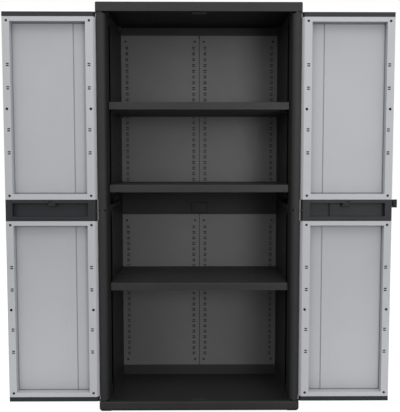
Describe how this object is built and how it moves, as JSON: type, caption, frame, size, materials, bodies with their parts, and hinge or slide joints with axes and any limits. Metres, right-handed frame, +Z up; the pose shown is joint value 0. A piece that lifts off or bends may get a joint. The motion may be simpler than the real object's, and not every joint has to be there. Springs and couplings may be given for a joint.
{
  "type": "garden storage cabinet",
  "caption": "Tall resin storage cabinet with two hinged doors shown open, shelves on pegs, slotted back panels and a hasp for a padlock.",
  "frame": {"origin": "on the floor at the centre of the base's footprint", "axes": "+Z up, +X to the right when facing the open front, +Y towards the back"},
  "size_m": [1.731, 0.537, 1.805],
  "materials": {
    "black_plastic": "fine matt grain",
    "back_plastic": "fine matt grain",
    "grey_panel": "fine matt grain",
    "screw_black": "black",
    "pin_steel": "turned"
  },
  "bodies": {
    "cabinet": {"base": "black_plastic", "roof": "black_plastic", "left_side_lower": "black_plastic", "right_side_lower": "black_plastic", "left_side_upper": "black_plastic", "right_side_upper": "black_plastic", "left_side_connector": "black_plastic", "right_side_connector": "black_plastic", "back_lower_left": "back_plastic", "back_lower_right": "back_plastic", "back_upper_left": "back_plastic", "back_upper_right": "back_plastic", "left_back_splice": "back_plastic", "right_back_splice": "back_plastic", "back_panel_screws": "screw_black", "back_crossbar": "black_plastic", "crossbar_clip": "black_plastic", "upper_shelf": "black_plastic", "middle_shelf": "black_plastic", "lower_shelf": "black_plastic", "upper_shelf_pegs": "black_plastic", "middle_shelf_pegs": "black_plastic", "lower_shelf_pegs": "black_plastic", "base_door_stop": "black_plastic", "roof_door_stop": "black_plastic"},
    "left_door": {"left_lower_panel": "grey_panel", "left_upper_panel": "grey_panel", "left_top_cap": "black_plastic", "left_middle_rail": "black_plastic", "left_bottom_cap": "black_plastic", "left_panel_screws": "screw_black", "left_hinge_pins": "pin_steel", "left_snap_clip": "black_plastic", "left_handle": "black_plastic", "left_staple": "black_plastic"},
    "right_door": {"right_lower_panel": "grey_panel", "right_upper_panel": "grey_panel", "right_top_cap": "black_plastic", "right_middle_rail": "black_plastic", "right_bottom_cap": "black_plastic", "right_panel_screws": "screw_black", "right_hinge_pins": "pin_steel", "right_snap_clip": "black_plastic", "right_handle": "black_plastic", "right_hasp": "black_plastic"}
  },
  "joints": [
    {"name": "left_door_hinge", "type": "hinge", "parent": "cabinet", "child": "left_door", "pos_m": [-0.425, -0.2555, 0.9065], "axis": [0, 0, 1], "range_deg": [0, 180]},
    {"name": "right_door_hinge", "type": "hinge", "parent": "cabinet", "child": "right_door", "pos_m": [0.425, -0.2555, 0.9065], "axis": [0, 0, -1], "range_deg": [0, 180]}
  ]
}
